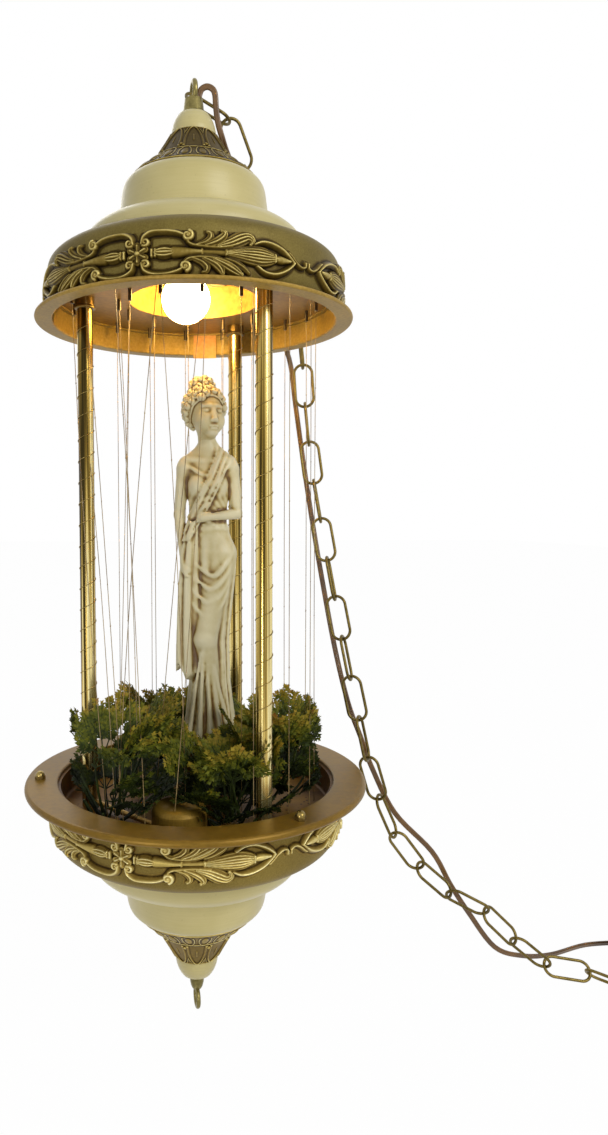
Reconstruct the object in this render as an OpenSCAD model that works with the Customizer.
// Hanging rain lamp: two ornamented heads joined by three brass columns. A pump in the
// lower basin lifts oil through one column, and the oil runs back down fine lines round a figure.
// Z is the lamp's axis. The origin is where the top ring bears on its hook.

/* [Hanging ring] */
// Centre-line radius of the hanging ring
loop_r = 8; // [7:0.5:11]
// Wire thickness of the hanging ring
loop_wire = 4.4; // [3.4:0.2:5]
// How deep the ring sinks into its collar
loop_sink = 4; // [3:0.5:5]
// Turn of the ring about the lamp's axis
loop_turn = 10; // [-20:5:20]
// Radius of the collar that carries the ring
collar_r = 8.2; // [7.5:0.1:10]
// Height of the collar
collar_h = 11; // [10:0.5:16]

/* [Heads] */
// Outer radius of the straight gold band
band_r = 119.5; // [117:0.5:122]
// Height of the upper head's straight band
top_band_h = 31; // [26:1:40]
// Height of the lower head's straight band
low_band_h = 34; // [28:1:44]
// Corner radius between band and shoulder
shoulder_round = 10; // [6:1:14]
// Radius where the gold shoulder meets the cream dome
shoulder_r = 90; // [82:1:96]
// Height of the gold shoulder
shoulder_h = 24; // [19:1:28]
// Radius at the foot of the cream drum
waist_r = 67; // [62:0.5:72]
// Height of the cream flare below the drum
flare_h = 20; // [16:1:25]
// Radius at the top of the cream drum
drum_r = 60; // [56:0.5:62]
// Height of the cream drum
drum_h = 20; // [15:1:26]
// Radius of the crown's lower edge
crown_r = 46; // [42:0.5:50]
// Height of the cream round between drum and crown
dome_h = 20; // [16:1:26]
// Radius at the top of the crown's bead tier
bead_r = 33; // [29:0.5:36]
// Height of the crown's bead tier
bead_h = 12; // [9:0.5:16]
// Radius at the top of the crown's leaf tier
leaf_r = 18.5; // [16:0.5:22]
// Height of the crown's leaf tier
leaf_h = 22; // [16:1:28]
// Radius at the small end of the neck cup
neck_r = 8; // [7:0.5:9]
// Height of the neck cup
neck_h = 20; // [14:1:28]
// Wall of the spun shells, measured level
shell_t = 2; // [1.4:0.2:2.6]

/* [Ornament] */
// Height of the frieze's relief
relief = 4.6; // [3:0.2:6]
// Height of the frieze's middle above the open edge of its band
frieze_mid = 17; // [15.5:0.5:18]
// Frieze units round each head
frieze_units = 3; // [2:1:3]
// Direction of the first rosette, from +X
rosette_a = -115; // [-180:5:180]
// Leaves round each crown
crown_leaves = 10; // [8:1:14]
// Eggs round each crown
crown_eggs = 16; // [10:1:20]

/* [Rain space] */
// Height from the upper lip to the basin's rim
rain_h = 377; // [320:1:440]
// How far the circle of columns lies inside the band
col_step = 29.5; // [26.5:0.5:35.5]
// Direction of the first column, from +X
col_a = -55; // [-70:1:-40]
// Outer diameter of a column
col_d = 12.7; // [11:0.1:14]
// Wall of a column
col_t = 1; // [0.6:0.1:1.5]
// Rise of the wire wound on a column, per turn
wire_pitch = 17.5; // [15:0.5:24]
// Diameter of that wire
wire_d = 0.6; // [0.4:0.1:1]
// How far the outer ring of lines lies inside the band
ring_step = 19; // [16.5:0.5:21.5]
// Lines in the outer ring
lines_out = 18; // [12:1:24]
// Radius of the inner ring of lines
ring_in = 62; // [60:0.5:66]
// Lines in the inner ring
lines_in = 12; // [6:1:15]
// Diameter of a line
line_d = 0.6; // [0.4:0.1:1]
// Length of a line tube under the drip pan
tube_h = 9; // [5:0.5:14]

/* [Drip pan] */
// How far the upper lip stands out past the band
lip_out = 10.5; // [7.5:0.5:14.5]
// Thickness of the lip
lip_t = 3; // [2:0.5:4]
// Depth of the drip pan above the lip
recess_h = 20; // [16:1:24]
// Radius of the opening for the bulb
well_r = 54; // [50:0.5:56]
// Height of the wall round that opening
well_h = 25; // [20:1:28]
// Height of the pan's outer wall
trough_h = 13; // [8:1:16]
// Sheet thickness of the pans
sheet_t = 2; // [1.4:0.2:2.4]

/* [Light] */
// Radius of the bulb's globe
globe_r = 20; // [17:0.5:24]
// How far the bulb reaches below the lip plane, upwards counted positive
globe_up = 2; // [-4:1:10]
// Sideways place of the bulb
bulb_x = -7; // [-10:0.5:-5]
// Radius of the lamp socket
socket_r = 15; // [14.5:0.5:17]
// Length of the lamp socket
socket_h = 34; // [30:1:38]

/* [Basin] */
// How far the basin's rim stands out past the band
rim_out = 23.5; // [21.5:0.5:27.5]
// How far the rim's opening lies inside the band
rim_step = 3.5; // [3.5:0.5:6.5]
// Thickness of the rim ring
rim_t = 3.5; // [2.5:0.5:5]
// Radius of the rim's rolled edge
rim_roll = 3; // [2:0.5:3.5]
// Depth of the basin's floor below the rim
basin_h = 24; // [20:1:30]
// How far the circle of acorn nuts lies outside the band
acorn_out = 11.5; // [8.5:0.5:12.5]

/* [Figure] */
// Height of the figure
figure_h = 328; // [280:1:332]
// Height of its plinth above the basin's floor
plinth_h = 34; // [24:1:42]
// Sideways place of the figure
figure_x = 10; // [0:1:14]

/* [Pump] */
// Place of the pump's drive shaft, across
pump_x = -19; // [-20:0.5:-18]
// How far the pump's drive shaft lies inside the band, at the front
pump_step = 41.5; // [40.5:0.5:42.5]
// Radius of the pump's cover
cover_r = 21; // [20.5:0.5:22]
// Height of the pump's cover
cover_h = 26; // [22:1:30]
// Teeth of a pump gear
gear_teeth = 10; // [8:1:12]
// Module of the pump gears
gear_mod = 1.2; // [1:0.1:1.3]
// Height of the pump gears
gear_h = 6; // [4:0.5:8]
// Radius of the drive shaft
shaft_r = 1.5; // [1:0.1:2]

/* [Chain and cord] */
// Length of a chain link, outside
link_l = 44; // [40:1:48]
// Width of a chain link, outside
link_w = 20; // [18:1:23]
// Wire thickness of a chain link
link_wire = 2.7; // [2.3:0.1:3]
// Diameter of the cord
cord_d = 5; // [4:0.2:5.4]
// Turns in one layer of the coil
coil_turns = 3; // [2:1:3]
// Radius of the coil at the middle of its turns
coil_r = 30; // [28:1:32]
// Step from one turn to the next
coil_step = 5.7; // [5.6:0.1:6]

/* [Hidden] */
$fn = 64;
gap = 0.2;
run_gap = 0.05;
eps = 0.01;

cream = "#d8cfa0";
gold = "#8a7842";
antique = "#6f6033";
brass = "#c9a44a";
bronze = "#a98a4a";
ivory = "#d8d2b8";
dark = "#3a332a";
steel = "#9a9a98";

lip_r = band_r + lip_out;
rim_r = band_r + rim_out;
rim_in = band_r - rim_step;
acorn_circle = band_r + acorn_out;
col_circle = band_r - col_step;
ring_out = band_r - ring_step;
pump_y = pump_step - band_r;
bed_r = 116;
bed = rim_in / bed_r;

crown_z = shoulder_h + flare_h + drum_h + dome_h;
leaf_z = crown_z + bead_h;
cup_z = leaf_z + leaf_h;
neck_z = cup_z + neck_h;

ring_z = loop_wire / 2 - loop_r;
collar_top = loop_sink - 2 * loop_r;
top_seat = collar_top - collar_h - neck_z - top_band_h;
lip_z = top_seat - lip_t;
pan_z = lip_z + recess_h;
pan_top = pan_z + sheet_t;
rim_z = lip_z - rain_h;
flange_z = rim_z - rim_t;
low_seat = flange_z - sheet_t;
floor_z = rim_z - basin_h;
floor_under = floor_z - sheet_t;
finial_seat = low_seat - low_band_h - neck_z;

well_top = pan_top + well_h;
lip_in = band_r - shell_t - gap;
lip_wall = 1.5;
ledge_w = 4;
bracket_t = 3;
bracket_w = 14;
bracket_x = well_r - 8;
bar_z = top_seat + top_band_h + shoulder_h + flare_h + drum_h - 1;
rod_r = 4.85;
rod_bore = 3.4;
nut_h = 5;
nut_r = 8;
globe_z = lip_z + globe_up + globe_r;
socket_z = bar_z - nut_h - 2;
base_r = 12.8;
base_h = 24;

col_r = col_d / 2;
column_angles = [col_a, col_a + 120, col_a + 240];
col_low = floor_under - 12;
col_top = pan_top + 10;
col_nut_r = col_r + 4.2;
collar_ring_h = 3;
grommet_h = 6;

line_r = line_d / 2;
tube_r = 1.5;
tube_head = 2.6;
anchor_r = 1.7;
tube_low = pan_z - tube_h;

figure_y = 4;
plinth_r = 24;
figure_z = floor_z + plinth_h;

gear_r = gear_mod * gear_teeth / 2;
gear_tip = gear_r + gear_mod;
gear_gap = 0.3;
pump_base = 2;
pump_wall = 3;
pump_lid_t = 2;
idler_x = 2 * gear_r;
chamber_h = gear_h + gear_gap;
body_r = gear_tip + gear_gap + pump_wall;
idler_pin = 1.4;
seal_r = 4;
riser_a = column_angles[2];
riser_p = [col_circle * cos(riser_a), col_circle * sin(riser_a)];
outlet_a = atan2(riser_p[1] - pump_y, riser_p[0] - pump_x);
outlet_l = norm(riser_p - [pump_x, pump_y]);
outlet_r = 2.2;
outlet_z = floor_z + 4.5;

motor_a = atan2(-pump_y, -pump_x);
stator_h = 14;
motor_foot = 3;
motor_stand = 2.5;
strap_t = 1.5;
motor_z = floor_under - motor_foot - strap_t - motor_stand - stator_h / 2;
coil_far = 42;
rotor_r = 11;
air_gap = 0.4;
motor_screw = [-12, 15];
screw_r = 1.5;
tie_r = 3;
boss_h = 8;

link_in = link_l - 2 * link_wire;
link_gap = 0.35;
link_pitch = link_in - 2 * link_gap;
cord_r = cord_d / 2;
stage_z = finial_seat - 35;
coil_p = [438, 52];
coil_layers = 4;
tie_t = 0.6;
switch_l = 50;
switch_w = 22;
switch_h = 8;
wheel_r = 8;
wheel_h = 5;
wheel_pin = 1.5;
wheel_x = switch_w / 2 - wheel_r + 3;
cord_brown = "#7a5a24";

// Profile helpers: an arc of an ellipse, and a revolved shell of even level wall
function arc(c, rx, ry, a0, a1, n) =
    [for (i = [0 : n]) let (a = a0 + (a1 - a0) * i / n) c + [rx * cos(a), ry * sin(a)]];

function turned(p) = [for (i = [len(p) - 1 : -1 : 0]) p[i]];

function inset(p, t) = [for (q = p) [q[0] - t, q[1]]];

function flat_list(l) = [for (a = l, b = a) b];

module shell(p, t = shell_t) {
    rotate_extrude($fn = 96)
        polygon(concat(p, turned(inset(p, t))));
}

module ring(r_in, r_out, h) {
    difference() {
        cylinder(r = r_out, h = h);
        translate([0, 0, -1])
            cylinder(r = r_in, h = h + 2);
    }
}

module hex_nut(r, bore, h) {
    difference() {
        cylinder(r = r, h = h, $fn = 6);
        translate([0, 0, -1])
            cylinder(r = bore, h = h + 2, $fn = 32);
    }
}

// Round-number routes are smoothed by passing a curve through their points
function spline(p, i, u) =
    let (n = len(p) - 1, a = p[max(i - 1, 0)], b = p[i], c = p[min(i + 1, n)], d = p[min(i + 2, n)])
    0.5 * (2 * b + (c - a) * u + (2 * a - 5 * b + 4 * c - d) * u * u
        + (3 * b - a - 3 * c + d) * u * u * u);

function smooth(p, k) =
    concat([for (i = [0 : len(p) - 2], j = [0 : k - 1]) spline(p, i, j / k)], [p[len(p) - 1]]);

function unit(v) = v / norm(v);

function heading(p, i) = unit(p[min(i + 1, len(p) - 1)] - p[max(i - 1, 0)]);

// Every ring of a swept tube is turned the least from the one before it
function carried(side, t) = unit(side - (side * t) * t);

function sides(p, i, s) =
    i >= len(p) ? [] : let (t = heading(p, i), c = carried(s, t)) concat([[c, cross(t, c)]],
        sides(p, i + 1, c));

function tube_faces(n, k) = concat(
    [[for (j = [0 : k - 1]) j]],
    [for (i = [0 : n - 2], j = [0 : k - 1]) [i * k + j, (i + 1) * k + j, i * k + (j + 1) % k]],
    [for (i = [0 : n - 2], j = [0 : k - 1])
        [i * k + (j + 1) % k, (i + 1) * k + j, (i + 1) * k + (j + 1) % k]],
    [[for (j = [k - 1 : -1 : 0]) (n - 1) * k + j]]);

module tube(p, r, k, side) {
    f = sides(p, 0, side);
    polyhedron(
        points = [for (i = [0 : len(p) - 1], j = [0 : k - 1])
            p[i] + r * (cos(360 * j / k) * f[i][0] + sin(360 * j / k) * f[i][1])],
        faces = tube_faces(len(p), k));
}

function length_of(p) = sum([for (i = [1 : len(p) - 1]) norm(p[i] - p[i - 1])]);

function sum(v, i = 0) = i >= len(v) ? 0 : v[i] + sum(v, i + 1);

// Head pieces, drawn with the open edge of the band at z = 0 and the neck upwards
module band(h) {
    slope = atan2(shoulder_h - 0.9 * shoulder_round, band_r - shoulder_r - 0.58 * shoulder_round);
    shell(concat([[band_r, 0]], arc([band_r - shoulder_round, h], shoulder_round, shoulder_round,
        0, 90 - slope, 6),
        [[shoulder_r, h + shoulder_h]]));
}

module dome() {
    fillet = 4;
    round_a = 60;
    round_rx = (drum_r - crown_r) / (1 - cos(round_a));
    round_ry = dome_h / sin(round_a);
    drum_z = shoulder_h + flare_h;
    shell(concat([[shoulder_r, shoulder_h], [waist_r + fillet, drum_z - fillet / 2]],
        [[waist_r + 1, drum_z + 1], [waist_r, drum_z + fillet]],
        arc([drum_r - round_rx, drum_z + drum_h], round_rx, round_ry, 0, round_a, 8)));
}

module crown() {
    wall = 2.4;
    lip = 1;
    tilt = atan2(bead_r - leaf_r, leaf_h);
    slant = leaf_h / cos(tilt);
    leaf_w = PI * bead_r / crown_leaves;
    egg_r = min(bead_h * 0.24, PI * (crown_r + bead_r) / 2 / crown_eggs * 0.8);
    shell([[crown_r, crown_z], [crown_r + lip, crown_z + 2 * lip], [bead_r + lip, leaf_z - lip],
        [bead_r, leaf_z], [leaf_r + 0.6, cup_z - 1], [leaf_r, cup_z]], wall);
    for (i = [0 : crown_leaves - 1])
        rotate(360 * i / crown_leaves)
            translate([bead_r - leaf_w * 0.42, 0, leaf_z + 0.8])
                rotate([0, -tilt, 0])
                    cylinder(r1 = leaf_w * 0.55, r2 = leaf_w * 0.32, h = slant * 0.86, $fn = 24);
    for (i = [0 : crown_eggs - 1])
        rotate(360 * (i + 0.5) / crown_eggs)
            translate([(crown_r + bead_r) / 2 + lip, 0, crown_z + bead_h / 2])
                sphere(r = egg_r, $fn = 20);
}

module neck_cup() {
    roof = 2;
    hole = rod_r + gap;
    side = arc([neck_r - 4, cup_z], leaf_r - neck_r + 4, neck_h / sin(65), 0, 65, 6);
    bent = concat([for (q = side) if (q[1] < neck_z - eps) q], [[neck_r, neck_z]]);
    rotate_extrude($fn = 64)
        polygon(concat(bent, [[hole, neck_z], [hole, neck_z - roof]],
            [for (q = turned(bent))
                if (q[1] < neck_z - 1.5 * roof && q[0] - shell_t > hole) [q[0] - shell_t, q[1]]]));
}

// The frieze is drawn flat as strokes of [along, up, half width] and wrapped on its band
function wrapped(s, t, r) =
    let (a = s / band_r * 180 / PI) [r * sin(a), -r * cos(a), t];

module stroke(p, k) {
    c = smooth(p, k);
    n = len(c);
    base = band_r + gap;
    polyhedron(
        points = flat_list([for (i = [0 : n - 1])
            let (d = heading([for (q = c) [q[0], q[1]]], i), w = c[i][2], rise = min(relief, 1 + 1.2 * w))
            [wrapped(c[i][0] - d[1] * w, c[i][1] + d[0] * w, base),
                wrapped(c[i][0], c[i][1], base + rise),
                wrapped(c[i][0] + d[1] * w, c[i][1] - d[0] * w, base)]]),
        faces = tube_faces(n, 3));
}

module half_unit() {
    for (up = [1, -1]) {
        // C-scroll beside the rosette, its stem and the lobes of its leaf
        stroke([[2, 5 * up, 1.2], [5, 12 * up, 1.8], [17, 15.5 * up, 2.4], [30, 13.5 * up, 1.8],
            [35, 9.5 * up, 1.6],
            [31, 8.5 * up, 1]], 2);
        stroke([[36, 8 * up, 0.8], [44, 4.4 * up, 1.6], [51, 4.6 * up, 1.5], [58, 6 * up, 1.4],
            [67, 8.6 * up, 1.6], [76, 12 * up, 1.8], [79, 15.5 * up, 0.6]], 1);
        stroke([[46, 6.4 * up, 0.8], [53, 9.4 * up, 1.8], [52, 13 * up, 0.5]], 1);
        stroke([[58, 8 * up, 0.8], [65, 11.6 * up, 1.8], [65, 15 * up, 0.5]], 1);
        // Ogee loop round the bud
        stroke([[80, 3.6 * up, 0.8], [86, 9.5 * up, 1.6], [98, 8 * up, 1.8], [108, 3 * up, 1.4],
            [112, 1.4 * up, 0.8]], 1);
    }
    // Baluster, reeded bud and the tail curl
    stroke([[8, 0, 1.5], [16, 0, 3.2], [23, 0, 2.6], [30, 0, 2], [37, 0, 1.4], [44, 0, 1]], 1);
    stroke([[47, 0, 2.4], [54, 0, 1.8], [62, 0, 2.2], [70, 0, 3], [78, 0, 3.2], [86, 0, 3], [95, 0,
        2], [105, 0, 0.8]], 1);
    stroke([[113, 3, 0.7], [118, -1, 1.3], [124, 0, 1], [123, 3, 0.5]], 1);
}

module rosette() {
    petals = 6;
    petal_l = 4.6;
    r = band_r + gap;
    for (i = [0 : petals - 1])
        hull() {
            translate(wrapped(0, 0, r + 1.2))
                sphere(r = 1.6, $fn = 6);
            translate(wrapped(petal_l * cos(60 * i), petal_l * sin(60 * i), r + 1.7))
                sphere(r = 1.5, $fn = 6);
        }
    translate(wrapped(0, 0, r + relief - 2))
        sphere(r = 2.2, $fn = 8);
}

module frieze() {
    frieze_half = 17.9;
    for (i = [0 : frieze_units - 1])
        rotate(rosette_a + 90 + 360 * i / frieze_units)
            translate([0, 0, frieze_mid])
                scale([1, 1, (frieze_mid - 0.4) / frieze_half]) {
                    half_unit();
                    mirror([1, 0, 0])
                        half_unit();
                    rosette();
                }
}

module on_top() {
    translate([0, 0, top_seat])
        children();
}

module on_low() {
    translate([0, 0, low_seat])
        mirror([0, 0, 1])
            children();
}

// Hanging ring and finial: a turned collar with a ring let into its end
module top_loop() {
    socket = collar_h - 5;
    color(brass) {
        difference() {
            translate([0, 0, collar_top - collar_h])
                cylinder(r1 = collar_r + 0.6, r2 = collar_r - 0.8, h = collar_h);
            translate([0, 0, collar_top - collar_h - 1])
                cylinder(r = rod_r + run_gap, h = socket + 1);
        }
        translate([0, 0, ring_z])
            rotate([90, 0, 90 + loop_turn])
                rotate_extrude()
                    translate([loop_r, 0])
                        circle(d = loop_wire, $fn = 24);
    }
}

module finial() {
    bell_h = 13;
    bell_r = 6.4;
    ring_r = 7.6;
    wire = 3.8;
    color(brass)
        translate([0, 0, finial_seat]) {
            difference() {
                rotate_extrude()
                    polygon(concat([[0, 0], [bell_r, 0]], arc([2.6, 0], bell_r - 2.6, -bell_h, 0, 90, 6),
                        [[0, -bell_h]]));
                translate([0, 0, -8])
                    cylinder(r = tie_r + run_gap, h = 9);
            }
            translate([0, 0, -bell_h - ring_r])
                rotate([90, 0, 90 + loop_turn])
                    rotate_extrude()
                        translate([ring_r, 0])
                            circle(d = wire, $fn = 24);
        }
}

module top_neck_cup() { color(cream) on_top() translate([0, 0, top_band_h]) neck_cup(); }
module top_crown() { color(antique) on_top() translate([0, 0, top_band_h]) crown(); }
module top_dome() { color(cream) on_top() translate([0, 0, top_band_h]) dome(); }
module top_band() { color(gold) on_top() band(top_band_h); }
module top_frieze() { color(antique) on_top() frieze(); }
module low_neck_cup() { color(cream) on_low() translate([0, 0, low_band_h]) neck_cup(); }
module low_crown() { color(antique) on_low() translate([0, 0, low_band_h]) crown(); }
module low_dome() { color(cream) on_low() translate([0, 0, low_band_h]) dome(); }
module low_band() { color(gold) on_low() band(low_band_h); }
module low_frieze() { color(antique) on_low() frieze(); }

// Upper lip: a spun ring whose inner wall rises to the ledge under the drip pan
module top_lip() {
    edge = lip_t / 2;
    wall_in = lip_in - lip_wall;
    color(bronze)
        rotate_extrude($fn = 96)
            polygon(concat(arc([lip_r - edge, lip_z + edge], edge, edge, -90, 90, 6),
                [[lip_in, top_seat], [lip_in, pan_z], [wall_in - ledge_w, pan_z],
                    [wall_in - ledge_w, pan_z - lip_wall]],
                [[wall_in, pan_z - lip_wall]],
                arc([wall_in + edge, lip_z + edge], edge, edge, 180, 270, 4)));
}

// Drip pan: an annular trough with holes for the line tubes and the columns
module drip_pan() {
    out_r = lip_in - lip_wall - gap;
    color(bronze)
        difference() {
            rotate_extrude($fn = 96)
                polygon([[well_r, pan_z], [out_r, pan_z], [out_r, pan_top + trough_h],
                    [out_r - sheet_t, pan_top + trough_h], [out_r - sheet_t, pan_top],
                        [well_r + sheet_t, pan_top],
                    [well_r + sheet_t, well_top], [well_r, well_top]]);
            at_lines()
                translate([0, 0, pan_z - 1])
                    cylinder(r = tube_r + run_gap, h = sheet_t + 2, $fn = 16);
            at_columns()
                translate([0, 0, pan_z - 1])
                    cylinder(r = col_r + run_gap, h = sheet_t + 2);
        }
}

module at_columns() {
    for (a = column_angles)
        rotate(a)
            translate([col_circle, 0, 0])
                children();
}

// Places of the lines: two rings, clear of the columns
function ring_spot(r, n, i, phase) = let (a = 360 * (i + phase) / n) [r * cos(a), r * sin(a)];

function line_spots(r_out, r_in) = concat(
    [for (i = [0 : lines_out - 1]) ring_spot(r_out, lines_out, i, 0.75)],
    [for (i = [0 : lines_in - 1]) ring_spot(r_in, lines_in, i, 0.183)]);

line_tops = line_spots(ring_out, ring_in);

// Some lines have slipped to a neighbour's anchor, and cross on the way down
slipped = [9, 11, 13, 22, 23, 25];
line_feet = [for (i = [0 : len(line_tops) - 1])
    let (near = i < lines_out ? (i + 1) % lines_out : lines_out + (i + 1 - lines_out) % lines_in)
    len([for (s = slipped) if (s == i) s]) > 0 ? 0.55 * line_tops[near] + 0.45 * line_tops[i] : line_tops[i]];

module at_lines() {
    for (p = line_tops)
        translate(p)
            children();
}

module line_tubes() {
    head_h = 1.5;
    color(dark)
        at_lines()
            translate([0, 0, tube_low])
                difference() {
                    union() {
                        cylinder(r = tube_r, h = tube_h + sheet_t + head_h, $fn = 16);
                        translate([0, 0, tube_h + sheet_t])
                            cylinder(r = tube_head, h = head_h, $fn = 16);
                    }
                    translate([0, 0, -1])
                        cylinder(r = line_r + 0.2, h = tube_h + 9, $fn = 16);
                }
}

module rod(a, b, r, k = 16) {
    v = b - a;
    translate(a)
        rotate([0, acos(v[2] / norm(v)), atan2(v[1], v[0])])
            cylinder(r = r, h = norm(v), $fn = k);
}

module rain_lines() {
    color("white")
        for (i = [0 : len(line_tops) - 1])
            rod([line_feet[i][0], line_feet[i][1], floor_z + anchor_r],
                [line_tops[i][0], line_tops[i][1], tube_low], line_r);
    color(dark)
        for (p = line_feet)
            translate([p[0], p[1], floor_z])
                cylinder(r1 = anchor_r, r2 = line_r + 0.4, h = anchor_r - run_gap, $fn = 16);
}

// Light: a bent strap on the well's wall carries the centre rod and the socket
module socket_bracket() {
    foot = 12;
    tab = 32;
    tab_x = bulb_x + socket_r + gap;
    color(steel)
        difference() {
            translate([0, -bracket_w / 2, 0]) {
                for (m = [0, 1])
                    mirror([m, 0, 0]) {
                        translate([bracket_x, 0, well_top])
                            cube([foot, bracket_w, bracket_t]);
                        translate([bracket_x, 0, well_top])
                            cube([bracket_t, bracket_w, bar_z + bracket_t - well_top]);
                    }
                translate([-bracket_x - bracket_t, 0, bar_z])
                    cube([2 * (bracket_x + bracket_t), bracket_w, bracket_t]);
                translate([tab_x, 0, bar_z - tab])
                    cube([2, bracket_w, tab + 1]);
            }
            translate([0, 0, bar_z - 1])
                cylinder(r = rod_r + run_gap, h = bracket_t + 2);
        }
}

module centre_rod() {
    color(brass)
        translate([0, 0, bar_z - nut_h])
            ring(rod_bore, rod_r, collar_top - 6 - bar_z + nut_h);
}

module rod_nuts() {
    color(brass) {
        translate([0, 0, bar_z - nut_h])
            hex_nut(nut_r, rod_r + run_gap, nut_h);
        translate([0, 0, bar_z + bracket_t])
            hex_nut(nut_r, rod_r + run_gap, nut_h);
    }
}

module lamp_socket() {
    wall = 1.6;
    color("#e8e2d0")
        translate([bulb_x, 0, socket_z - socket_h])
            difference() {
                cylinder(r = socket_r, h = socket_h);
                translate([0, 0, -1])
                    cylinder(r = base_r + gap, h = socket_h + 1 - wall - 2);
            }
}

module bulb() {
    neck = base_r - 1.4;
    base_z = socket_z - socket_h - 2;
    start = asin(neck / globe_r);
    tip_h = 3;
    color("#fff2cc")
        translate([bulb_x, 0, globe_z])
            rotate_extrude($fn = 64)
                polygon(concat([[0, -globe_r]], arc([0, 0], globe_r, globe_r, -80, 90 - start, 20),
                    [[neck, base_z - globe_z], [0, base_z - globe_z]]));
    color(brass)
        translate([bulb_x, 0, base_z]) {
            cylinder(r = base_r, h = base_h);
            translate([0, 0, base_h])
                cylinder(r1 = base_r - 2, r2 = 4, h = tip_h);
        }
}

// Columns: brass tubes clamped to both pans, each wound with a drip wire
module column() {
    color(brass)
        translate([0, 0, col_low])
            ring(col_r - col_t, col_r, col_top - col_low);
}

module column_front() { rotate(column_angles[0]) translate([col_circle, 0, 0]) column(); }
module column_back() { rotate(column_angles[1]) translate([col_circle, 0, 0]) column(); }

// The left column is the riser: a port in its wall faces the pump's outlet
module column_left() {
    color(brass)
        difference() {
            rotate(column_angles[2])
                translate([col_circle, 0, 0])
                    column();
            translate([riser_p[0], riser_p[1], outlet_z])
                rotate([0, -90, outlet_a])
                    cylinder(r = outlet_r - 0.8, h = col_r + 1, $fn = 24);
        }
}

module column_wires() {
    steps = 8;
    start = pan_z - grommet_h - collar_ring_h - 2;
    run = start - outlet_z - 10;
    count = floor(steps * run / wire_pitch);
    r = (col_r + wire_d / 2 + run_gap) / cos(180 / steps);
    turns = [for (i = [0 : count]) let (a = 360 * i / steps) [r * cos(a), r * sin(a),
        -wire_pitch * i / steps]];
    echo(wire_gap = self_gap(turns, wire_d, steps / 2));
    color(brass)
        at_columns()
            translate([0, 0, start])
                tube(turns, wire_d / 2, 3, [1, 0, 0]);
}

module column_collars() {
    color(dark)
        at_columns()
            translate([0, 0, pan_z - grommet_h])
                ring(col_r + run_gap, col_r + 1.6, grommet_h);
    color(brass)
        at_columns()
            translate([0, 0, pan_z - grommet_h - collar_ring_h])
                rotate_extrude()
                    polygon(concat([[col_r + run_gap, 0], [col_r + run_gap, collar_ring_h]],
                        arc([col_r + 1, collar_ring_h / 2], collar_ring_h / 2, collar_ring_h / 2,
                            90, -90, 6)));
}

module column_nuts() {
    color(brass)
        at_columns() {
            translate([0, 0, pan_top])
                hex_nut(col_nut_r, col_r + run_gap, nut_h);
            translate([0, 0, floor_under - nut_h])
                hex_nut(col_nut_r, col_r + run_gap, nut_h);
        }
}

// Basin: a deep pan whose flange hangs on the lower band, under a rolled rim ring
module basin_pan() {
    wall_r = rim_in - gap;
    corner = 5;
    flange_r = rim_r - 2 * rim_roll - 1;
    color(bronze)
        difference() {
            union() {
                rotate_extrude($fn = 96)
                    polygon(concat([[0, floor_under]],
                        arc([wall_r - corner, floor_under + corner], corner, corner, -90, 0, 4),
                        [[wall_r, low_seat], [flange_r, low_seat], [flange_r, flange_z],
                            [wall_r - sheet_t, flange_z]],
                        arc([wall_r - corner, floor_under + corner], corner - sheet_t,
                            corner - sheet_t, 0, -90, 4),
                        [[0, floor_z]]));
                translate([0, 0, floor_under - boss_h])
                    cylinder(r = tie_r + 5, h = boss_h + eps);
                at_motor()
                    for (y = [-1, 1])
                        translate([motor_screw[0], y * motor_screw[1], floor_under - motor_foot])
                            cylinder(r = 4, h = motor_foot + eps);
            }
            translate([0, 0, floor_under - boss_h - 1])
                cylinder(r = tie_r + run_gap, h = boss_h + 1);
            at_columns()
                translate([0, 0, floor_under - 1])
                    cylinder(r = col_r + run_gap, h = sheet_t + 2);
            translate([pump_x, pump_y, floor_under - 1])
                cylinder(r = seal_r + run_gap, h = sheet_t + 2);
            at_motor()
                for (y = [-1, 1])
                    translate([motor_screw[0], y * motor_screw[1], floor_under - motor_foot - 1])
                        cylinder(r = screw_r + run_gap, h = motor_foot + 1);
            at_acorns()
                translate([0, 0, low_seat - 1])
                    cylinder(r = screw_r + gap, h = sheet_t + 2, $fn = 24);
        }
}

module basin_rim() {
    crown_h = 0.8;
    color(bronze)
        difference() {
            rotate_extrude($fn = 96)
                polygon(concat([[rim_in, flange_z], [rim_r - 2 * rim_roll, flange_z]],
                    arc([rim_r - rim_roll, rim_z - rim_roll], rim_roll, rim_roll, 180, 450, 12),
                    [[rim_in + 6, rim_z + crown_h - 0.8]],
                    arc([rim_in + rim_t / 2, flange_z + rim_t / 2], rim_t / 2, rim_t / 2, 90, 180, 4)));
            at_acorns()
                translate([0, 0, flange_z - 1])
                    cylinder(r = screw_r + gap, h = rim_t + 2, $fn = 24);
        }
}

module at_acorns() {
    for (a = column_angles)
        rotate(a)
            translate([acorn_circle, 0, 0])
                children();
}

module rim_screws() {
    head_h = 2;
    color(brass)
        at_acorns()
            translate([0, 0, low_seat - head_h]) {
                cylinder(r = 3.2, h = head_h, $fn = 24);
                cylinder(r = screw_r, h = rim_t + sheet_t + head_h + 4, $fn = 24);
            }
}

module acorn_nuts() {
    hex_h = 3;
    hex_r = 4.4;
    color(brass)
        at_acorns()
            translate([0, 0, rim_z])
                difference() {
                    union() {
                        cylinder(r = hex_r, h = hex_h, $fn = 6);
                        translate([0, 0, hex_h])
                            sphere(r = hex_r * 0.85, $fn = 24);
                    }
                    translate([0, 0, -1])
                        cylinder(r = screw_r + run_gap, h = 6, $fn = 24);
                    translate([0, 0, -hex_r])
                        cube(2 * hex_r, center = true);
                }
}

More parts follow.
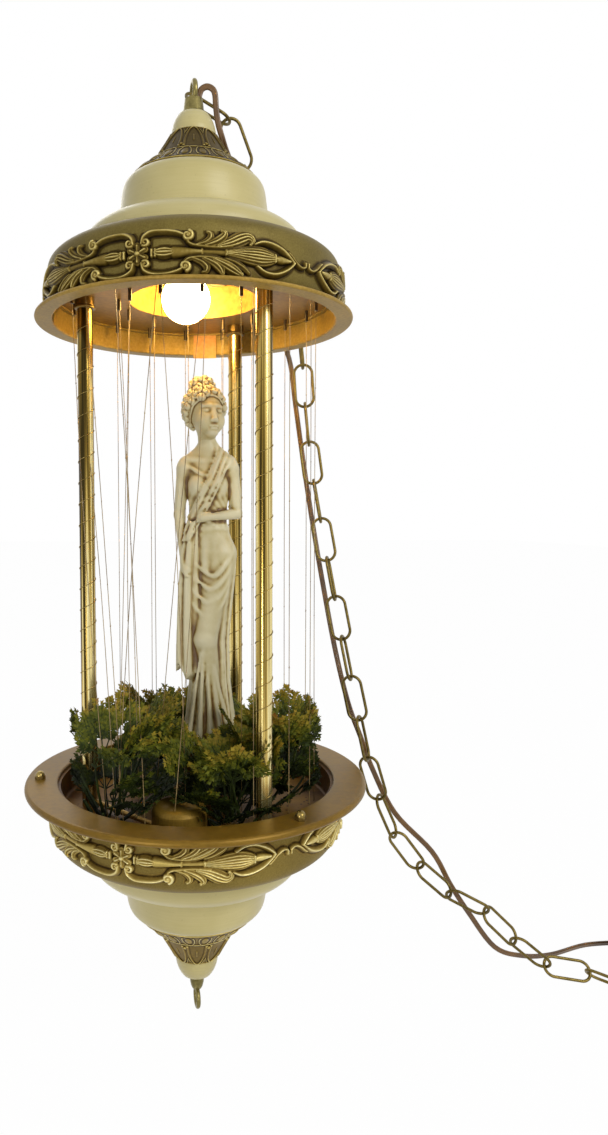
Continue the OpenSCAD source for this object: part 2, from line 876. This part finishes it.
// Figure: a draped standing figure on a turned plinth
module plinth() {
    color(ivory)
        translate([figure_x, figure_y, floor_z])
            rotate_extrude($fn = 48)
                polygon([[0, 0], [plinth_r, 0], [plinth_r, 5], [plinth_r - 4, 9], [plinth_r - 4,
                    plinth_h - 8],
                    [plinth_r - 1, plinth_h - 4], [plinth_r - 1, plinth_h], [0, plinth_h]]);
}

module limb(a, ra, b, rb) {
    hull() {
        translate(a)
            sphere(r = ra, $fn = 8);
        translate(b)
            sphere(r = rb, $fn = 8);
    }
}

// A lofted cloth body: rings of [height, half width, half depth, sway, fold depth]
module loft(rings, folds, k) {
    n = len(rings);
    polyhedron(
        points = [for (q = rings, j = [0 : k - 1])
            let (a = 360 * j / k, f = 1 + q[4] * cos(folds * a))
            [q[3] + q[1] * f * cos(a), q[2] * f * sin(a), q[0]]],
        faces = tube_faces(n, k));
}

module figure() {
    u = figure_h / 100;
    color(ivory)
        translate([figure_x, figure_y, figure_z])
            scale(u) {
                loft([[0, 6.6, 5.8, 0.4, 0.1], [2, 6.9, 6, 0.4, 0.1], [14, 6.4, 5.4, 0.3, 0.1],
                    [30, 6.5, 5.2, -0.2, 0.08], [42, 6.9, 5.2, -0.5, 0.05], [50, 6.8, 5, -0.6, 0.03],
                    [58, 5.2, 4, -0.2, 0.02], [63, 4.9, 3.8, 0, 0.02], [70, 5.9, 4.3, 0.1, 0],
                    [76, 6, 4.2, 0.1, 0], [80, 5.4, 3.2, 0.1, 0], [82.4, 2.6, 2.2, 0.1, 0], [83,
                        1.6, 1.6, 0.1, 0]], 9, 36);
                // Mantle thrown over one shoulder, in soft ridges
                for (i = [0 : 4])
                    limb([5.2 - 1.4 * i, -2.6 - 0.1 * i, 79 - 0.7 * i], 1.1, [-4.6 - 0.3 * i, -3.4,
                        60 - 3 * i], 1.3);
                limb([-4.6, -3.6, 58], 1.6, [-6, -2.6, 26], 1.2);
                // Arms: one hangs, the other lies across the waist
                limb([-6.4, 0.2, 78], 2, [-7.7, 0.6, 62.5], 1.7);
                limb([-7.7, 0.6, 62.5], 1.6, [-7.4, -1.6, 48.5], 1.1);
                limb([-7.4, -1.6, 48.5], 1.2, [-7, -2.2, 44.5], 0.8);
                limb([6.5, 0.2, 78], 2, [7.9, 0.2, 63], 1.7);
                limb([7.9, 0.2, 63], 1.6, [0.6, -5.2, 61.4], 1.1);
                limb([0.6, -5.2, 61.4], 1.2, [-2.6, -5, 61.8], 0.8);
                // Neck, head and hair
                limb([0.1, 0, 80], 2.1, [0, -0.4, 87], 1.7);
                limb([-0.2, -0.9, 88.2], 2.9, [-0.2, -0.2, 92.2], 4);
                limb([-0.2, 0.6, 91.8], 4.7, [-0.2, 0.8, 94.2], 4.5);
                limb([-0.2, 1.6, 97.2], 2.4, [-0.2, 1.9, 97.6], 2.4);
            }
}

// Foliage: moulded sprays of lobed fans on stems, on a weighted foot
module fan(size) {
    lobes = 5;
    thick = 1.4;
    rotate([90, 0, 0])
        translate([0, 0, -thick / 2])
            linear_extrude(thick)
                polygon(concat([[0, 0]], [for (i = [0 : 4 * lobes])
                    let (a = 30 + 120 * i / (4 * lobes), r = size * (0.86 + 0.14 * cos(360 * i / 4)))
                    [r * cos(a), r * sin(a)]]));
}

module spray(turn, lean, stem, size) {
    rotate([0, 0, turn])
        rotate([lean, 0, 0]) {
            hull() {
                translate([0, 0, 0.5])
                    cylinder(r = 1.6, h = 1, $fn = 6);
                translate([0, 0, stem + size * 0.35])
                    cylinder(r = 0.9, h = 1, $fn = 6);
            }
            translate([0, 0, stem])
                fan(size);
            translate([0, 0, stem * 0.55])
                rotate([-18, 0, 35])
                    fan(size * 0.8);
        }
}

module cluster(place, sprays, tall, lean, start) {
    foot_h = 3;
    foot_r = 9;
    high = tall * bed;
    color("#4b5a2a")
        difference() {
            translate([place[0] * bed, place[1] * bed, floor_z]) {
                cylinder(r = foot_r, h = foot_h, $fn = 12);
                for (i = [0 : sprays - 1])
                    spray(start + 360 * i / sprays, lean + 6 * (i % 3),
                        high * (0.5 + 0.09 * (i % 3)), high * 0.44);
            }
            neighbours();
        }
}

// Room kept round everything that stands among the foliage, in plain prisms
module neighbours() {
    room = 0.8;
    flats = 12;
    wide = 1 / cos(180 / flats);
    for (i = [0 : len(line_tops) - 1])
        rod([line_feet[i][0], line_feet[i][1], floor_z - 1], [line_tops[i][0], line_tops[i][1], tube_low],
            (line_r + room) / cos(30), 6);
    at_columns()
        translate([0, 0, floor_z - 1])
            cylinder(r = wide * (col_r + 2 * wire_d + 2 * room), h = 200, $fn = flats);
    translate([figure_x, figure_y, floor_z - 1])
        cylinder(r = wide * (plinth_r + room), h = plinth_h + 3, $fn = flats);
    translate([figure_x, figure_y, figure_z])
        scale([1, 0.86, 1])
            cylinder(r = wide * 0.095 * figure_h, h = 200, $fn = flats);
    translate([pump_x + idler_x / 2, pump_y, floor_z - 1])
        cylinder(r = wide * (cover_r + room), h = cover_h + 1 + room, $fn = flats);
    translate([pump_x, pump_y, floor_z - 1])
        rotate(outlet_a)
            translate([0, -outlet_r - 2 * room, 0])
                cube([outlet_l, 2 * outlet_r + 4 * room, outlet_z - floor_z + outlet_r + 1 + room]);
    difference() {
        translate([0, 0, floor_z - 1])
            cylinder(r = 200, h = 200, $fn = flats);
        translate([0, 0, floor_z - 2])
            cylinder(r = rim_in - sheet_t - 5, h = 202, $fn = flats);
    }
    translate([-200, -200, floor_z - 40])
        cube([400, 400, 40]);
}

module plants_left() { cluster([-68, -54], 7, 96, 16, 30); }
module plants_front() { cluster([26, -64], 6, 64, 12, 22); }
module plants_right() { cluster([66, -10], 7, 88, 14, 20); }
module plants_back() { cluster([-16, 58], 7, 92, 16, 33); }

// Pump: two gears in a chamber on the basin's floor, under a domed cover
function tooth(i) =
    let (a = 360 * i / gear_teeth, foot = 80 / gear_teeth, tip = 26 / gear_teeth,
        root = gear_r - 1.25 * gear_mod)
    [[root * cos(a - foot), root * sin(a - foot)], [gear_tip * cos(a - tip), gear_tip * sin(a - tip)],
        [gear_tip * cos(a + tip), gear_tip * sin(a + tip)], [root * cos(a + foot), root * sin(a + foot)]];

module gear(bore) {
    linear_extrude(gear_h)
        difference() {
            polygon(flat_list([for (i = [0 : gear_teeth - 1]) tooth(i)]));
            circle(r = bore, $fn = 32);
        }
}

module at_pump() {
    translate([pump_x, pump_y, floor_z])
        children();
}

module pump_body() {
    color(brass)
        at_pump() {
            difference() {
                hull() {
                    cylinder(r = body_r, h = pump_base + chamber_h, $fn = 32);
                    translate([idler_x, 0, 0])
                        cylinder(r = body_r, h = pump_base + chamber_h, $fn = 32);
                }
                for (x = [0, idler_x])
                    translate([x, 0, pump_base])
                        cylinder(r = gear_tip + gear_gap, h = chamber_h + 1);
                translate([0, 0, -1])
                    cylinder(r = shaft_r + run_gap, h = pump_base + 2);
                rotate(outlet_a)
                    translate([body_r - 5, 0, outlet_z - floor_z])
                        rotate([0, 90, 0])
                            cylinder(r = outlet_r + run_gap, h = 8);
            }
            translate([idler_x, 0, pump_base])
                cylinder(r = idler_pin, h = chamber_h);
        }
}

module pump_lid() {
    color(brass)
        at_pump()
            translate([0, 0, pump_base + chamber_h])
                difference() {
                    hull() {
                        cylinder(r = body_r, h = pump_lid_t, $fn = 32);
                        translate([idler_x, 0, 0])
                            cylinder(r = body_r, h = pump_lid_t, $fn = 32);
                    }
                    translate([0, 0, -1])
                        cylinder(r = shaft_r + run_gap, h = pump_lid_t + 2);
                }
}

module pump_cover() {
    wall = 1.4;
    round_r = 6;
    cut = idler_x / 2;
    color(bronze)
        at_pump()
            translate([cut, 0, 0])
                difference() {
                    rotate_extrude()
                        polygon(concat([[cover_r - wall, 0], [cover_r, 0]],
                            arc([cover_r - round_r, cover_h - round_r], round_r, round_r, 0, 90, 6),
                            [[0, cover_h], [0, cover_h - wall]],
                            arc([cover_r - round_r, cover_h - round_r], round_r - wall,
                                round_r - wall, 90, 0, 6)));
                    for (a = [60 : 60 : 300])
                        rotate(a)
                            translate([0, -2, -1])
                                cube([cover_r + 2, 4, 3]);
                    translate([-cut, 0, 0])
                        rotate(outlet_a)
                            translate([0, -outlet_r - 1, -1])
                                cube([2 * cover_r, 2 * outlet_r + 2, outlet_z - floor_z + outlet_r + 2]);
                }
}

module drive_gear() {
    color(steel)
        at_pump()
            translate([0, 0, pump_base + gear_gap / 2])
                gear(shaft_r + 0.02);
}

module idler_gear() {
    color(steel)
        at_pump()
            translate([idler_x, 0, pump_base + gear_gap / 2])
                rotate(180 + 180 / gear_teeth)
                    gear(idler_pin + run_gap);
}

module drive_shaft() {
    top = floor_z + pump_base + chamber_h + pump_lid_t;
    low = motor_z - stator_h / 2 - 7;
    color(steel)
        translate([pump_x, pump_y, low])
            cylinder(r = shaft_r, h = top - low, $fn = 32);
}

module shaft_seal() {
    lip_h = 2;
    color(dark)
        translate([pump_x, pump_y, floor_under - lip_h])
            difference() {
                union() {
                    cylinder(r = seal_r, h = sheet_t + lip_h, $fn = 32);
                    cylinder(r = seal_r + 2, h = lip_h, $fn = 32);
                }
                translate([0, 0, -1])
                    cylinder(r = shaft_r + run_gap, h = sheet_t + lip_h + 2, $fn = 32);
            }
}

module pump_outlet() {
    color(brass)
        translate([pump_x, pump_y, outlet_z])
            rotate([0, 0, outlet_a])
                translate([body_r - 3, 0, 0])
                    rotate([0, 90, 0])
                        ring(outlet_r - 0.8, outlet_r, outlet_l - body_r + 3 - col_r - gap);
}

// Motor: a shaded-pole stator hung under the floor, its coil turned towards the lamp's axis
module at_motor() {
    translate([pump_x, pump_y, 0])
        rotate(motor_a)
            children();
}

module motor_stator() {
    color(steel)
        at_motor()
            translate([0, 0, motor_z - stator_h / 2])
                difference() {
                    translate([-18, -20, 0])
                        cube([56, 40, stator_h]);
                    translate([0, 0, -1])
                        cylinder(r = rotor_r + air_gap, h = stator_h + 2);
                    translate([16, -12, -1])
                        cube([15, 24, stator_h + 2]);
                    for (y = [-1, 1])
                        translate([motor_screw[0], y * motor_screw[1], -1])
                            cylinder(r = screw_r + run_gap, h = stator_h + 2);
                }
}

module motor_coil() {
    wall = 4;
    color("#a85c2c")
        at_motor()
            translate([coil_far - 7 - 2 * wall, -11.5, motor_z - stator_h / 2 - wall])
                difference() {
                    cube([7 + 2 * wall, 23, stator_h + 2 * wall]);
                    translate([wall - gap, -1, wall - gap])
                        cube([7 + 2 * gap, 25, stator_h + 2 * gap]);
                }
}

module motor_rotor() {
    color(steel)
        translate([pump_x, pump_y, motor_z - stator_h / 2])
            ring(shaft_r + 0.02, rotor_r, stator_h);
}

module motor_brackets() {
    strap_w = 10;
    color(steel)
        at_motor()
            for (m = [0, 1])
                translate([0, 0, motor_z])
                    mirror([0, 0, m])
                        translate([0, 0, stator_h / 2])
                            difference() {
                                for (y = [-1, 1])
                                    translate([motor_screw[0] - strap_w / 2,
                                        y * motor_screw[1] - strap_w / 2, 0])
                                        cube([strap_w, strap_w, motor_stand + eps]);
                                for (y = [-1, 1])
                                    translate([motor_screw[0], y * motor_screw[1], -1])
                                        cylinder(r = screw_r + run_gap, h = 8);
                            }
    color(steel)
        at_motor()
            for (m = [0, 1])
                translate([0, 0, motor_z])
                    mirror([0, 0, m])
                        translate([0, 0, stator_h / 2 + motor_stand])
                            difference() {
                                translate([motor_screw[0] - strap_w / 2, -20, 0])
                                    cube([22, 40, strap_t]);
                                cylinder(r = shaft_r + run_gap, h = 20, center = true);
                                for (y = [-1, 1])
                                    translate([motor_screw[0], y * motor_screw[1], -1])
                                        cylinder(r = screw_r + run_gap, h = 8);
                            }
}

module motor_screws() {
    low = motor_z - stator_h / 2 - motor_stand - strap_t;
    color(steel)
        at_motor()
            for (y = [-1, 1])
                translate([motor_screw[0], y * motor_screw[1], 0]) {
                    translate([0, 0, low - 2])
                        cylinder(r = 3, h = 2, $fn = 24);
                    translate([0, 0, low - eps])
                        cylinder(r = screw_r, h = floor_under - low - gap, $fn = 24);
                }
}

// Lead to the motor, down the bore of the back column
lead_r = 1.6;
lead_xy = [col_circle * cos(column_angles[1]), col_circle * sin(column_angles[1])];
lead_in = [cos(motor_a), sin(motor_a)];
lead_end = [pump_x, pump_y] + (coil_far + gap) * lead_in;
lead_run = lead_end + 9 * lead_in;
lead_in_p = [bulb_x, socket_r + gap, socket_z - 8];
lead_route = [lead_in_p + [0, 4, 0], [bulb_x + 2, socket_r + 10, socket_z - 8], [8, 38, well_top + 20],
    [24, 58, well_top + 10], [lead_xy[0], lead_xy[1], well_top - 4], [lead_xy[0], lead_xy[1], pan_top - 20],
    [lead_xy[0], lead_xy[1], rim_z], [lead_xy[0], lead_xy[1], col_low - 2], [30, 60, col_low - 12],
    [18, 16, col_low - 16], [6, -14, motor_z - 6], [lead_run[0], lead_run[1], motor_z - 4]];
lead_points = concat([lead_in_p], smooth(lead_route, 2), [[lead_end[0], lead_end[1], motor_z - 4]]);

module motor_lead() {
    color(dark)
        tube(lead_points, lead_r, 5, [1, 0, 0]);
}

module tie_rod() {
    low = finial_seat - 7;
    color(steel)
        translate([0, 0, low])
            cylinder(r = tie_r, h = floor_under - 1 - low, $fn = 32);
}

// Chain: oval links stepped along a route, every other one turned a quarter
chain_route = [[-4.7, 10.6, -3.8], [30, 14, -23], [44, 26, -56], [58, 46, -90], [76, 72, -122],
    [96, 98, -152],
    [104, 106, -190], [106, 104, -230], [112, 96, -300], [122, 84, -370], [133, 70, -440], [145, 56, -510],
    [155, 50, -560], [163, 48, -595], [182, 47, -645], [217, 45, -690], [250, 43, -712], [276, 42, -726],
    [304, 40, -756], [326, 38, -772], [352, 36, -775.5], [378, 24, -775.5],
    [392, -4, -775.5], [394, -50, -775.5]];
chain_fine = smooth(chain_route, 6);
link_count = 26;
roll_step = 2.5;

function along(p, s) = let (i = min(floor(s), len(p) - 2)) p[i] + (p[i + 1] - p[i]) * (s - i);

function reach_from(p, from, lo, hi, n) =
    let (m = (lo + hi) / 2)
    n == 0 ? m : norm(along(p, m) - from) < link_pitch
        ? reach_from(p, from, m, hi, n - 1) : reach_from(p, from, lo, m, n - 1);

function joints_of(p, s, n) =
    n < 0 ? [] : let (q = along(p, s)) concat([q], joints_of(p, reach_from(p, q, s, s + 14, 24), n - 1));

// Frame of every link: across, through and along it, carried from link to link
function link_frames(j, i, side) =
    i >= len(j) - 1 ? [] : let (t = unit(j[i + 1] - j[i]), c = carried(side, t))
        concat([[c, cross(t, c), t, (j[i] + j[i + 1]) / 2]], link_frames(j, i + 1, c));

module link() {
    straight = (link_l - link_w) / 2;
    bend = (link_w - link_wire) / 2;
    for (m = [0, 1])
        mirror([0, 0, m]) {
            translate([0, 0, straight])
                rotate([90, 0, 0])
                    rotate_extrude(angle = 180, $fn = 32)
                        translate([bend, 0])
                            circle(d = link_wire, $fn = 16);
            for (x = [-bend, bend])
                translate([x, 0, 0])
                    cylinder(d = link_wire, h = straight, $fn = 16);
        }
}

module chain() {
    frames = link_frames(joints_of(chain_fine, 0, link_count), 0, [0, 1, 0]);
    color(antique)
        for (i = [0 : link_count - 1])
            multmatrix([for (k = [0 : 2]) [for (f = frames[i]) f[k]]])
                rotate(90 * (i % 2) + roll_step * i)
                    link();
}

// Cord: from the collar, beside the chain, to the coil on the floor
coil_rings = 20;
coil_total = coil_layers * coil_turns;
coil_end = coil_total + 0.25;
coil_out = coil_r + coil_turns * coil_step / 2;
coil_z = stage_z + tie_t + gap + cord_r;

cord_in = [4.6, -1.6, collar_top];
coil_in = [coil_p[0] - cord_d, coil_p[1] + coil_out, coil_z];
cord_turn = 6.5;
cord_top = cord_in + [cord_turn, -1, 3];
cord_route = [cord_in + [0, 0, 3], cord_top + [-0.7 * cord_turn, 0.4, 0.7 * cord_turn],
    cord_top + [0, 0, cord_turn], cord_top + [0.7 * cord_turn, 0.2, 0.7 * cord_turn],
    cord_top + [cord_turn, 0.6, 0], [18.3, -1, -18], [20.2, 1.5, -30], [25.4, 8, -44],
    [37, 32, -68], [44, 58, -96], [57, 87, -126], [76, 116, -156], [94, 124, -196], [100, 122, -240],
    [107, 112, -300], [115, 103, -360], [124, 93, -420], [134, 83, -480], [145, 74, -530],
    [156, 67, -562], [166, 64, -590], [188, 62, -634], [224, 62, -672], [242, 62, -704],
    [260, 62, -732], [287, 64, -768], [316, 67, -779], [346, 72, coil_z],
    [388, coil_in[1] - 3, coil_z], coil_in - [cord_d, 0, 0]];
cord_points = concat([cord_in], smooth(cord_route, 2), [coil_in]);

module cord() {
    echo(cord_length = length_of(cord_points) + length_of(coil_points) + length_of(tail_points) + tail_l);
    color(cord_brown)
        tube(cord_points, cord_r, 8, [0, 1, 0]);
}

// Coil: piled loops that spiral in and out again, climbing a layer where the spiral turns
function coil_radius(t) =
    let (l = floor(t / coil_turns), f = t - l * coil_turns)
    t > coil_total ? coil_out + (t - coil_total) * coil_step
        : coil_out - coil_step * (l % 2 == 0 ? f : coil_turns - f);

function coil_level(t) =
    let (l = round(t / coil_turns), d = t - l * coil_turns, s = max(0, min(1, (d + 0.25) / 0.5)))
    l < 1 ? 0 : l >= coil_layers ? coil_layers - 1 : l - 1 + s;

function coil_at(t) =
    [coil_p[0] + coil_radius(t) * sin(360 * t), coil_p[1] + coil_radius(t) * cos(360 * t),
        coil_z + coil_step * coil_level(t)];

coil_points = concat([coil_in], [for (i = [0 : coil_end * coil_rings]) coil_at(i / coil_rings)],
    [coil_at(coil_end) - [0, cord_d, 0]]);

// Least gap of a wound tube to itself, between points at least half a turn apart
function self_gap(p, d, apart) =
    min([for (i = [0 : len(p) - 1 - apart]) min([for (j = [i + apart : len(p) - 1]) norm(p[i] - p[j])])]) - d;

module cord_coil() {
    echo(coil_gap = self_gap(coil_points, cord_d, coil_rings / 2));
    color(cord_brown)
        tube(coil_points, cord_r, 6, [0, 0, 1]);
}

coil_stop = coil_points[len(coil_points) - 1];
switch_y = coil_stop[1] - 80;
switch_x = coil_stop[0] + 4;
switch_z = stage_z + switch_h;
tail_l = 34;
plug_y = switch_y - switch_l - tail_l;
tail_route = [coil_stop - [0, cord_d, 0], coil_stop + [0.6, -16, 0], coil_stop + [2.4, -30, -2],
    [switch_x, coil_stop[1] - 54, switch_z + 2], [switch_x, switch_y + cord_d, switch_z]];
tail_points = concat([coil_stop], smooth(tail_route, 2), [[switch_x, switch_y, switch_z]]);

module cord_tail() {
    color(cord_brown) {
        tube(tail_points, cord_r, 8, [0, 0, 1]);
        tube([for (i = [0 : 4]) [switch_x, switch_y - switch_l - tail_l * i / 4, switch_z]],
            cord_r, 8, [0, 0, 1]);
    }
}

module coil_tie() {
    wide = 5;
    low = coil_out - coil_turns * coil_step + coil_step / 2 - cord_r - 2 * gap;
    high = coil_out - coil_step / 2 + cord_r + 2 * gap;
    tall = (coil_layers - 1) * coil_step + cord_d + 3 * gap;
    color(dark)
        translate([coil_p[0] - wide / 2, coil_p[1], stage_z])
            rotate([90, 0, 90])
                linear_extrude(wide)
                    difference() {
                        translate([-high - tie_t, 0])
                            square([high - low + 2 * tie_t, tall + 2 * tie_t]);
                        translate([-high, tie_t])
                            square([high - low, tall]);
                    }
}

// Switch on the cord: two half shells round a thumb wheel that stands out at one side
module switch_half() {
    corner = 5;
    difference() {
        hull()
            for (x = [-1, 1], y = [0, 1])
                translate([x * (switch_w / 2 - corner), y ? -corner : corner - switch_l, 0])
                    cylinder(r = corner, h = switch_h - 0.5 * run_gap, $fn = 32);
        translate([wheel_x, -switch_l / 2, -1])
            cylinder(r = wheel_r + 0.4, h = wheel_h / 2 + 0.3 + 1);
        translate([wheel_x, -switch_l / 2, -1])
            cylinder(r = wheel_pin + run_gap, h = wheel_h / 2 + 3.6 + 1, $fn = 32);
    }
}

module cord_switch() {
    color("#2b2118")
        translate([switch_x, switch_y, switch_z])
            for (m = [0, 1])
                mirror([0, 0, m])
                    translate([0, 0, 0.5 * run_gap])
                        switch_half();
}

module switch_wheel() {
    notches = 20;
    color("#d9d0b4")
        translate([switch_x + wheel_x, switch_y - switch_l / 2, switch_z]) {
            difference() {
                cylinder(r = wheel_r, h = wheel_h, center = true);
                for (i = [0 : notches - 1])
                    rotate(360 * i / notches)
                        translate([wheel_r + 0.3, 0, 0])
                            cylinder(r = 0.7, h = wheel_h + 2, center = true, $fn = 16);
            }
            cylinder(r = wheel_pin, h = wheel_h + 6.4, center = true, $fn = 32);
        }
}

// Plug: a moulded body with two flat blades
module plug() {
    body_l = 30;
    body_w = 24;
    neck_w = 12;
    corner = 4;
    blade = [1.5, 16, 6.4];
    blade_gap = 12.7;
    color("#2b2118")
        translate([switch_x, plug_y, switch_z])
            hull() {
                for (x = [-1, 1], z = [-1, 1])
                    translate([x * (body_w / 2 - corner), -body_l, z * (switch_h - corner)])
                        rotate([-90, 0, 0])
                            cylinder(r = corner, h = body_l * 0.6, $fn = 24);
                rotate([90, 0, 0])
                    cylinder(r = neck_w / 2, h = 4, $fn = 24);
            }
    color(brass)
        for (x = [-1, 1])
            translate([switch_x + x * blade_gap / 2 - blade[0] / 2, plug_y - body_l - blade[1],
                switch_z - blade[2] / 2])
                cube(blade);
}

top_loop();
top_neck_cup();
top_crown();
top_dome();
top_band();
top_frieze();
top_lip();
drip_pan();
line_tubes();
rain_lines();
socket_bracket();
centre_rod();
rod_nuts();
lamp_socket();
bulb();
column_front();
column_back();
column_left();
column_wires();
column_collars();
column_nuts();
basin_pan();
basin_rim();
rim_screws();
acorn_nuts();
plinth();
figure();
plants_left();
plants_front();
plants_right();
plants_back();
pump_body();
pump_lid();
pump_cover();
drive_gear();
idler_gear();
drive_shaft();
shaft_seal();
pump_outlet();
motor_stator();
motor_coil();
motor_rotor();
motor_brackets();
motor_screws();
motor_lead();
low_band();
low_frieze();
low_dome();
low_crown();
low_neck_cup();
finial();
tie_rod();
chain();
cord();
cord_coil();
cord_tail();
coil_tie();
cord_switch();
switch_wheel();
plug();
